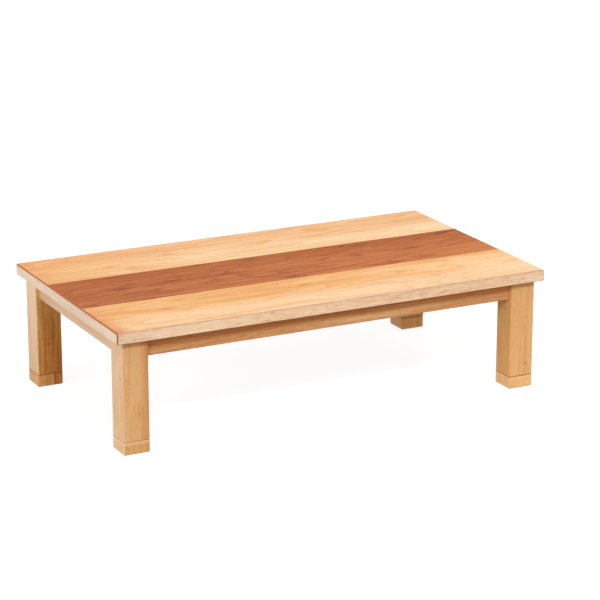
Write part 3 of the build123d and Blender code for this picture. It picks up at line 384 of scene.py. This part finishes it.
# The left faces of the left legs are painted paler, as light from the left falls on them. The front right leg's inner
# face is painted darker, as shade falls on it. The back left leg's front is darker, partly heartwood and partly painted
# shade.
leg_tones = {           # what a stick shows on its left face, then each layer to the right of it, in mm from that face
    ("front_left", "upper"): (NEAR_LEG_LEFT_PAINTED_LIGHT, (NEAR_LEG, 1, 5), (RED_LEG, 56, 76)),
    ("front_left", "lower"): (NEAR_LEG_LEFT_PAINTED_LIGHT, (NEAR_BLOCK, 1, 5)),
    ("front_right", "upper"): (LEG_INSIDE_PAINTED_SHADE, (LEG, 1, 5)),
    ("front_right", "lower"): (BLOCK,),
    ("back_left", "upper"): (SAP_AND_LIGHT_LEG, (HEART_AND_SHADE_LEG_EDGE, 0.5, 3), (HEART_AND_SHADE_LEG, 5, 22)),
    ("back_left", "lower"): (SAP_AND_LIGHT_BLOCK, (HEART_AND_SHADE_BLOCK, 2, 8), (HEART_STRIPE, 54, 57), (HEART_AND_SHADE_BLOCK, 61, 68)),
    ("back_right", "upper"): (LEG,),
    # the back right extension's front is painted paler and redder, as painted light on a shaded face
    ("back_right", "lower"): (BLOCK, (RED_BLOCK_PAINTED_LIGHT, 2, 8)),
}

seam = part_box("leg_front_left")[0].z
block_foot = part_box("leg_extension_front_left")[0].z
seam_stain = {"front_left": 0.45, "front_right": 0.72, "back_left": 0.75, "back_right": 0.75}
SEAM_STAIN_REACH = 2.3 * MM
# Painted highlight: a paler band on the front extensions' top edges.
seam_highlight = {"front_left": 0.32, "front_right": 0.14}       # of the extension's top edge, where light catches it
SEAM_HIGHLIGHT_REACH = 12 * MM
# The foot's bottom edge is darker: end-grain stain and painted shade where it meets the floor.
FOOT_STAIN_AND_SHADE, FOOT_STAIN_AND_SHADE_REACH = 0.35, 2.4 * MM


def leg_wood(corner, part, shift):
    """The wood of one leg, or of its extension, each cut from its own stick."""
    face = left_face if corner.endswith("left") else inner_face
    outer_tones, *inner_layers = leg_tones[corner, part]
    layers = [(leg_tops_painted_light[corner], "Z", *LEG_TOP_LIGHT_RUN)] if corner in leg_tops_painted_light else []
    layers += [(tones, "X", face + before * MM, face + after * MM) for tones, before, after in inner_layers]
    ends = [(seam, SEAM_STAIN_REACH, seam_stain[corner], END_TONE),
            (block_foot, FOOT_STAIN_AND_SHADE_REACH, FOOT_STAIN_AND_SHADE, END_TONE)]
    # a painted highlight on the extension's top edge
    if part == "lower" and corner in seam_highlight:
        ends.insert(0, (seam, SEAM_HIGHLIGHT_REACH, seam_highlight[corner], HIGHLIGHT_TONE))
    return wood(f"leg_wood_{part}_{corner}", "z", outer_tones, shift=shift, knots=leg_knots[corner], layers=layers,
                ends=ends, figure=0.20, streak=0.26, fibre=0.28, curls=0.26, figure_size=(0.9, 0.06),
                streak_size=(0.45, 0.008), fibre_size=(0.05, 0.0018), curl_size=(0.018, 0.0036), knot_depth=0.42,
                drift=leg_drift[corner], drift_range=LEG_RUN, gloss=0.2)


def dress(name, material):
    """Puts a finish on a CAD node in place of the plain one that it was packed with."""
    for slot in nodes[name].material_slots:
        slot.material = material


dress("top_veneer_front", front_veneer)
dress("top_veneer_back", back_veneer)
dress("top_veneer_centre", dark_veneer)
dress("top_core", core_board)
dress("top_backing", backing_sheet)
for sides, tape, board in ((("front", "back"), edge_long, apron_long), (("left", "right"), edge_short, apron_short)):
    for side in sides:
        dress(f"edge_tape_{side}", tape)
        dress(f"apron_{side}", board)
for step, corner in enumerate(leg_knots):       # each stick is cut from its own place in the noise
    dress(f"leg_{corner}", leg_wood(corner, "upper", (0.3 * step, 0.1, 0.2 * step)))
    dress(f"leg_extension_{corner}", leg_wood(corner, "lower", (1.7 + 0.3 * step, 0.5, 0.1)))
for side in ("left", "right"):
    dress(f"heater_rail_{side}", rail_wood)
for dowels in ("apron_dowels", "extension_dowels"):
    dress(dowels, dowel_wood)

# ------------------------------------------------------------------ metal, plastic, glass


def brushed(name, colour, roughness, scratch=0.25):
    """Bare or plated metal with a fine uneven surface; scratch is how much darker its worn places are."""
    finish = Finish(name, colour, roughness, Metallic=1.0)
    place = finish.places()
    cloud = finish.noise(place, 12 * MM, detail=3.0, roughness=0.6)
    grit = finish.noise(place, 1.2 * MM, detail=2.0, roughness=0.6)
    worn = tuple(channel * (1 - scratch) for channel in colour[:3]) + (1.0,)
    finish.put("Base Color", finish.mix(finish.spread(cloud, *MIDDLE), colour, worn))
    finish.put("Roughness", finish.spread(cloud, *MIDDLE, roughness - 0.08, roughness + 0.10))
    finish.bump(grit, depth=0.04 * MM, strength=0.5)
    return finish.material


def painted(name, colour, roughness, grain=1.2, depth=0.05):
    """Enamel, plastic or rubber: one colour, slightly mottled, with a fine texture whose grain and depth are in mm."""
    finish = Finish(name, colour, roughness)
    place = finish.places()
    cloud = finish.spread(finish.noise(place, 30 * MM, detail=3.0), *MIDDLE)
    # paler by a quarter, and by a little more that shows on black ones
    dusty = tuple(min(1.0, channel * 1.25 + 0.004) for channel in colour[:3]) + (1.0,)
    finish.put("Base Color", finish.mix(cloud, colour, dusty))
    finish.put("Roughness", finish.spread(cloud, 0.0, 1.0, roughness - 0.05, roughness + 0.05))
    finish.bump(finish.noise(place, grain * MM), depth * MM, strength=0.6)
    return finish.material


def glass(name, colour, roughness):
    """The wall of a quartz tube, with streaks of haze along X."""
    finish = Finish(name, colour, roughness, IOR=1.46, Transmission_Weight=0.75)
    haze = finish.noise(finish.places(), (10 * MM, 2 * MM, 2 * MM), detail=3.0)
    finish.put("Roughness", finish.spread(haze, *MIDDLE, roughness - 0.02, roughness + 0.12))
    return finish.material


slot_makers = {
    "zinc_steel": (brushed, srgb(208, 206, 196), 0.34),
    "motor_can": (brushed, srgb(190, 190, 188), 0.30),
    "fan_sheet": (brushed, srgb(214, 214, 216), 0.30, 0.12),
    "reflector_sheet": (brushed, srgb(226, 226, 226), 0.16, 0.08),
    "brass_cap": (brushed, srgb(214, 178, 96), 0.28),
    "coil_wire": (brushed, srgb(120, 98, 82), 0.45),
    "heater_enamel": (painted, srgb(38, 38, 40), 0.42, 0.9, 0.08),
    "guard_enamel": (painted, srgb(30, 30, 30), 0.70, 0.4, 0.10),
    "ceramic": (painted, srgb(232, 226, 212), 0.30),
    "brown_plastic": (painted, srgb(72, 38, 24), 0.38),
    "white_plastic": (painted, srgb(226, 223, 212), 0.40),
    "black_plastic": (painted, srgb(22, 22, 22), 0.45, 0.6, 0.08),
    "rubber_pad": (painted, srgb(34, 32, 30), 0.80, 0.5, 0.10),
    "felt": (painted, srgb(118, 86, 60), 0.95, 0.5, 0.30),
    "glass_sleeve": (painted, srgb(222, 216, 200), 0.75, 0.7, 0.20),
    "quartz": (glass, srgb(240, 238, 230), 0.12),
}
slot_finishes = {name: make(name, *looks) for name, (make, *looks) in slot_makers.items()}
for node in nodes.values():
    for slot in node.material_slots:
        slot.material = slot_finishes.get(slot.material.name, slot.material)

# ------------------------------------------------------------------ small parts in full detail

PLACE_DECIMALS = 7               # of a metre, for telling that two points are one
END_SLACK = 0.3 * MM             # how far from a turned solid's end its points still belong to the end
SHARP_EDGE = math.radians(32)
COPY_TURN = 0.7                  # radians from one copy to the next, so that they don't all line up
PAN_DOME = ((1, 0), (1, 0.35), (0.93, 0.66), (0.72, 0.90), (0.38, 1), (0, 1))     # shares of its radius and height
POINT_END, POINT_RUN = 0.25, 2.5              # a screw's point: its end's radius and its length, in shank radii
TIP_FACE, TIP_RUN = 0.8, 0.25                 # a bolt's chamfered tip, in the same way
RECESS_REACH, RECESS_SLOT = 0.52, 0.11        # shares of the head's radius
RECESS_DEPTH, RECESS_TAPER = 0.62, 0.72       # share of the head's height, and how much of the outline its floor has
NUT_FACE, NUT_SLOPE = 0.475, 0.13             # shares of the width across flats: a face's radius, a turned corner's run
THREAD_PITCH, THREAD_GROOVE = 1.25 * MM, 0.55      # the groove's depth is a share of the pitch
COIL_PITCH, COIL_WIRE_RADIUS = 2.6 * MM, 0.5 * MM


def put_in_scene(name, data):
    """Makes an object of a mesh, a curve, a lamp or a camera."""
    made = bpy.data.objects.new(name, data)
    bpy.context.scene.collection.objects.link(made)
    return made


def as_made(holder):
    """An object with its modifiers or its bevel worked out."""
    return holder.evaluated_get(bpy.context.evaluated_depsgraph_get())


def on_circle(radius, turn):
    """The place on a circle after a turn in radians."""
    return radius * math.cos(turn), radius * math.sin(turn)


def solids(name):
    """The separate solids of a CAD node, each as the list of its points."""
    mesh = nodes[name].data
    owner = list(range(len(mesh.vertices)))

    def root(point):
        """The point that stands for all those joined to this one."""
        while owner[point] != point:
            owner[point] = owner[owner[point]]
            point = owner[point]
        return point

    first_here = {}
    for vertex in mesh.vertices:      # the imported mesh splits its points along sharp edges
        place = tuple(round(value, PLACE_DECIMALS) for value in vertex.co)
        owner[vertex.index] = first_here.setdefault(place, vertex.index)
    for edge in mesh.edges:
        one, other = (root(point) for point in edge.vertices)
        owner[one] = other
    groups = {}
    for vertex in mesh.vertices:
        groups.setdefault(root(vertex.index), []).append(vertex.co.copy())
    return [groups[key] for key in sorted(groups)]


def spindle(points):
    """A turned solid's axis: its two end points, the one with the wider end first, and its widest radius."""
    middle = sum(points, Vector()) / len(points)
    far = max(points, key=lambda point: (point - middle).length)
    along = (far - middle).normalized()
    for _ in range(8):                # settles on the direction in which the points spread most
        along = sum(((point - middle).dot(along) * (point - middle) for point in points), Vector()).normalized()
    runs = [(point - middle).dot(along) for point in points]
    low, high = min(runs), max(runs)
    centre = sum((point - middle - along * run for point, run in zip(points, runs)), Vector()) / len(points)
    spine = middle + centre
    radius_at = {
        end: max((point - middle - along * run).length
                 for point, run in zip(points, runs) if abs(run - end) < END_SLACK)
        for end in (low, high)
    }
    ends = [spine + along * low, spine + along * high]
    if radius_at[high] > radius_at[low]:
        ends.reverse()
    return ends[0], ends[1], max(radius_at.values())


def lathe(profile, sides=24):
    """A closed solid turned about Z from its profile of radius and height, which starts and ends on the axis."""
    shape = bmesh.new()
    rings = []
    for radius, height in profile:
        if radius == 0:
            rings.append([shape.verts.new((0, 0, height))])
        else:
            turns = [2 * math.pi * step / sides for step in range(sides)]
            rings.append([shape.verts.new((*on_circle(radius, turn), height)) for turn in turns])
    for lower, upper in zip(rings, rings[1:]):
        for step in range(sides):
            corners = [ring[index % len(ring)] for ring, index in
                       ((lower, step), (lower, step + 1), (upper, step + 1), (upper, step))]
            distinct = list(dict.fromkeys(corners))
            if len(distinct) > 2:
                shape.faces.new(distinct)
    bmesh.ops.recalc_face_normals(shape, faces=shape.faces)
    return shape


def as_object(shape, name):
    """Makes an object of a bmesh, with its sharp edges kept sharp."""
    mesh = bpy.data.meshes.new(name)
    shape.to_mesh(mesh)
    shape.free()
    made = put_in_scene(name, mesh)
    mesh.shade_smooth()
    mesh.set_sharp_from_angle(angle=SHARP_EDGE)
    return made


def cut(shape, tool, operation="DIFFERENCE"):
    """Cuts one bmesh with another and gives the result as a new one."""
    body, cutter = as_object(shape, "cut_body"), as_object(tool, "cut_tool")
    modifier = body.modifiers.new("cut", "BOOLEAN")
    modifier.operation = operation
    modifier.solver = "EXACT"
    modifier.object = cutter
    result = bmesh.new()
    result.from_mesh(as_made(body).to_mesh())
    for used in (body, cutter):
        bpy.data.meshes.remove(used.data)
    return result


def prism(corners, low, high, taper=1.0):
    """An upright prism on an outline of corners, drawn in by taper at its lower end."""
    shape = bmesh.new()
    bottom = [shape.verts.new((x * taper, y * taper, low)) for x, y in corners]
    top = [shape.verts.new((x, y, high)) for x, y in corners]
    shape.faces.new(bottom)
    shape.faces.new(top)
    for step in range(len(corners)):
        after = (step + 1) % len(corners)
        shape.faces.new((bottom[step], bottom[after], top[after], top[step]))
    bmesh.ops.recalc_face_normals(shape, faces=shape.faces)
    return shape


def cross_outline(reach, half_slot):
    """The outline of a cross recess, seen from above."""
    arm = [(reach, -half_slot), (reach, half_slot), (half_slot, half_slot)]
    turns = ((1, 0), (0, 1), (-1, 0), (0, -1))
    return [(x * cos - y * sin, x * sin + y * cos) for cos, sin in turns for x, y in arm]


def pan_screw(head_radius, head_height, radius, length):
    """A pan-head screw with a cross recess and a pointed shank. Its head's top is at zero and its shank below."""
    seat = -head_height
    tip = seat - length
    dome = [(out * head_radius, seat + up * head_height) for out, up in PAN_DOME]
    shank = [(0, tip), (POINT_END * radius, tip), (radius, tip + POINT_RUN * radius), (radius, seat)]
    cross = cross_outline(RECESS_REACH * head_radius, RECESS_SLOT * head_radius)
    return cut(lathe(shank + dome), prism(cross, -RECESS_DEPTH * head_height, head_height, RECESS_TAPER))


def placed_copies(unit, places):
    """One mesh of the unit at each place, which is its top and the direction in which it goes down."""
    joined = bmesh.new()
    source = bpy.data.meshes.new("unit")
    unit.to_mesh(source)
    for step, (top, down) in enumerate(places):
        turn = Matrix.Rotation(COPY_TURN * step, 4, "Z")
        aim = (-down).to_track_quat("Z", "Y").to_matrix().to_4x4()
        one = source.copy()
        one.transform(Matrix.Translation(top) @ aim @ turn)
        joined.from_mesh(one)
        bpy.data.meshes.remove(one)
    bpy.data.meshes.remove(source)
    unit.free()
    return joined


def stand_in(shape, node, detail, slot="zinc_steel"):
    """Puts a detailed piece in the place of a plain CAD node, on the node's body and in the slot's finish."""
    bodies = frame["record"]["behaviour"]["bodies"]
    body = next(body for body, members in bodies.items() if node in members)
    piece = as_object(shape, f"{node}_{detail}")
    piece.data.materials.append(slot_finishes[slot])
    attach(piece, body)
    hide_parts(node)


def detailed_screws(node, head_height, radius):
    """Replaces a node's plain screws with cross-recessed ones of the same size and place."""
    ends = [spindle(points) for points in solids(node)]
    top, tip, head_radius = ends[0]
    length = (top - tip).length - head_height
    unit = pan_screw(head_radius, head_height, radius, length)
    stand_in(placed_copies(unit, [(top, (tip - top).normalized()) for top, tip, _ in ends]), node, "detailed")


for name in ("bracket_screws", "rail_screws", "heater_screws"):
    detailed_screws(name, head_height=2.2 * MM, radius=1.9 * MM)
for name in ("guard_screws", "motor_screws"):
    detailed_screws(name, head_height=1.5 * MM, radius=1.5 * MM)


def threaded_rod(radius, plain, length):
    """A rod down from zero: a thread with a rounded start, then a plain shank."""
    sides, rings_a_turn = 20, 4
    groove = THREAD_GROOVE * THREAD_PITCH
    shape = bmesh.new()
    steps = int((length - plain) / THREAD_PITCH * rings_a_turn)
    levels = [-step * THREAD_PITCH / rings_a_turn for step in range(steps + 1)]
    levels += [-(length - plain) - THREAD_PITCH, -length]
    rings = []
    for index, level in enumerate(levels):
        ring = []
        for side in range(sides):
            turn = 2 * math.pi * side / sides
            turns_up = level / THREAD_PITCH               # below zero, as the rod goes down
            wave = abs(2 * ((turns_up - turn / (2 * math.pi)) % 1) - 1) if index <= steps else 0.0
            start = min(1.0, 0.80 - turns_up * 0.2)       # the first turn is rounded in to 0.8 of the radius
            ring.append(shape.verts.new((*on_circle((radius - groove * wave) * start, turn), level)))
        rings.append(ring)
    for upper, lower in zip(rings, rings[1:]):
        for side in range(sides):
            after = (side + 1) % sides
            shape.faces.new((upper[side], upper[after], lower[after], lower[side]))
    shape.faces.new(rings[0])
    shape.faces.new(rings[-1])
    bmesh.ops.recalc_face_normals(shape, faces=shape.faces)
    return shape


def hexagon(flats):
    """The corners of a hexagon of that width across flats."""
    return [on_circle(flats / math.sqrt(3), math.pi * step / 3) for step in range(6)]


def hex_nut(flats, height, bore):
    """A nut with its corners turned off at both faces. Its outer face is at zero."""
    face, corner, slope = NUT_FACE * flats, flats / math.sqrt(3) + 0.2 * MM, NUT_SLOPE * flats
    outline = [(0, -height), (face, -height), (corner, slope - height), (corner, -slope), (face, 0), (0, 0)]
    barrel = lathe(outline, sides=36)
    block = cut(prism(hexagon(flats), -height, 0.0), barrel, "INTERSECT")
    return cut(block, lathe([(0, -height - MM), (bore, -height - MM), (bore, MM), (0, MM)])) if bore else block


def hex_bolt(flats, head_height, radius, length):
    """A bolt whose head's outer face is at zero and whose shank goes down."""
    tip, root = -head_height - length, -head_height / 2
    shank = lathe([(0, tip), (TIP_FACE * radius, tip), (radius, tip + TIP_RUN * radius), (radius, root), (0, root)])
    return cut(hex_nut(flats, head_height, bore=0), shank, "UNION")


hanger_places = []
for points in solids("hanger_bolts"):
    one, other, hanger_radius = spindle(points)
    outer, inner = sorted((one, other), key=lambda end: -end.xy.length)
    hanger_places.append((inner, (outer - inner).normalized()))
hanger_length, hanger_thread = (outer - inner).length, 20 * MM
rod = threaded_rod(hanger_radius, hanger_length - hanger_thread, hanger_length)
stand_in(placed_copies(rod, hanger_places), "hanger_bolts", "threaded")

nut_height, nut_flats = 6.5 * MM, 13.0 * MM
nut_places = []
for points in solids("hanger_nuts"):
    middle = sum(points, Vector()) / len(points)
    down = Vector((math.copysign(1, middle.x), math.copysign(1, middle.y), 0)).normalized()
    nut_places.append((middle - down * nut_height / 2, down))
stand_in(placed_copies(hex_nut(nut_flats, nut_height, hanger_radius), nut_places), "hanger_nuts", "chamfered")

bolt_head_height, bolt_flats, bolt_radius = 5.3 * MM, 13.0 * MM, 4.0 * MM
bolt_places = []
for points in solids("extension_bolts"):
    head, tip, _ = spindle(points)
    bolt_places.append((head, (tip - head).normalized()))
bolt = hex_bolt(bolt_flats, bolt_head_height, bolt_radius, (tip - head).length - bolt_head_height)
stand_in(placed_copies(bolt, bolt_places), "extension_bolts", "detailed")


def coil(low, high, centre, radius):
    """The mesh of a wire that winds along X from low to high, with its middle line at radius from the centre."""
    turns = (high - low) / COIL_PITCH
    steps_a_turn = 14
    count = int(turns * steps_a_turn)
    curve = bpy.data.curves.new("coil", "CURVE")
    curve.dimensions = "3D"
    curve.bevel_depth = COIL_WIRE_RADIUS
    curve.bevel_resolution = 1
    spline = curve.splines.new("POLY")
    spline.points.add(count)
    for step, point in enumerate(spline.points):
        across, up = on_circle(radius, 2 * math.pi * step / steps_a_turn)
        point.co = (low + (high - low) * step / count, centre.y + across, centre.z + up, 1.0)
    made = put_in_scene("coil", curve)
    mesh = bpy.data.meshes.new_from_object(as_made(made))
    bpy.data.objects.remove(made)
    return mesh


coils = bmesh.new()
for points in solids("heating_coils"):
    low = Vector(min(point[axis] for point in points) for axis in range(3))
    high = Vector(max(point[axis] for point in points) for axis in range(3))
    reach = (high.z - low.z) / 2 - COIL_WIRE_RADIUS
    coils.from_mesh(coil(low.x, high.x, (low + high) / 2, reach))
stand_in(coils, "heating_coils", "wound", "coil_wire")

# ------------------------------------------------------------------ floor, light and camera

FLOOR_REACH = 30.0
FLOOR_LEVEL = -0.2 * MM          # just clear of the felts
FLOOR_TONE = (0.28, 0.27, 0.255, 1.0)         # what light it throws up
FLOOR_GLOW, FLOOR_GLOW_TONE = 0.885, (0.966, 0.981, 1.0, 1.0)      # what makes it look white by itself
AMBIENT = (0.46, 0.308, 0.195, 1.0)           # what the world gives as light
WHITE = (1.0, 1.0, 1.0, 1.0)                  # what it looks like

floor_mesh = bpy.data.meshes.new("floor")
corner_signs = ((-1, -1), (1, -1), (1, 1), (-1, 1))
floor_mesh.from_pydata([(x * FLOOR_REACH, y * FLOOR_REACH, FLOOR_LEVEL) for x, y in corner_signs], [], [(0, 1, 2, 3)])
floor = put_in_scene("floor", floor_mesh)
floor_finish = Finish("floor", FLOOR_TONE, 1.0, Specular_IOR_Level=0.0, Emission_Color=FLOOR_GLOW_TONE)
floor_finish.put("Emission Strength", floor_finish.maths("MULTIPLY", floor_finish.seen(), FLOOR_GLOW))
# The floor is only there from above, so that the table's underside can be seen from below it. It lets through
# the lamps under it, which stand for the light that a white floor throws up.
clear = floor_finish.node("BsdfTransparent").outputs[0]
below = floor_finish.node("NewGeometry").outputs["Backfacing"]
shadow_ray = floor_finish.node("LightPath").outputs["Is Shadow Ray"]
see_through = floor_finish.maths("MAXIMUM", below, shadow_ray)
one_sided = floor_finish.node("MixShader", see_through, floor_finish.shader.outputs[0], clear).outputs[0]
floor_finish.feed(floor_finish.tree.nodes["Material Output"].inputs["Surface"], one_sided)
floor_mesh.materials.append(floor_finish.material)

world = bpy.data.worlds.new("studio")
bpy.context.scene.world = world
world.use_nodes = True
sky = Nodes(world.node_tree)
sky.feed(sky.tree.nodes["Background"].inputs["Color"], sky.mix(sky.seen(), AMBIENT, WHITE))


def sun(name, azimuth, elevation, power, softness, colour):
    """A lamp without falloff. All angles are in degrees, and azimuth goes from the table's front to its right."""
    lamp = bpy.data.lights.new(name, "SUN")
    lamp.energy = power
    lamp.angle = math.radians(softness)
    lamp.color = colour
    put_in_scene(name, lamp).rotation_euler = (math.radians(90 - elevation), 0.0, math.radians(azimuth))


sun("key", azimuth=-10, elevation=43, power=1.62, softness=13, colour=(0.88, 0.94, 1.0))
sun("front_left", azimuth=-55, elevation=22, power=0.92, softness=25, colour=(1.0, 0.99, 0.97))
sun("left_fill", azimuth=-85, elevation=14, power=1.19, softness=40, colour=(0.84, 0.92, 1.0))
sun("overhead", azimuth=56, elevation=58, power=0.5, softness=14, colour=(1.0, 0.97, 0.92))
sun("back_fill", azimuth=165, elevation=32, power=0.48, softness=40, colour=(1.0, 0.97, 0.93))
sun("right_fill", azimuth=100, elevation=12, power=0.50, softness=40, colour=(1.0, 0.97, 0.93))
sun("from_the_floor", azimuth=20, elevation=-70, power=0.55, softness=90, colour=(1.0, 0.95, 0.88))
sun("floor_in_front", azimuth=-5, elevation=-18, power=0.48, softness=50, colour=(1.0, 0.95, 0.88))

photo_side = 600                 # pixels, width and height
focal_pixels = 2414.0
camera_place = (-3.3635, -6.7507, 2.5919)
camera_yaw = 27.0                # degrees that the camera looks to the right of straight at the front
camera_pitch = 17.0              # degrees down
lens = bpy.data.cameras.new("camera")
lens.sensor_width = 36.0
lens.lens = focal_pixels / photo_side * lens.sensor_width
lens.clip_end = 100.0
camera = put_in_scene("camera", lens)
camera.location = camera_place
camera.rotation_euler = (math.radians(90 - camera_pitch), 0.0, math.radians(-camera_yaw))
bpy.context.scene.camera = camera
bpy.context.scene.view_settings.view_transform = "Standard"
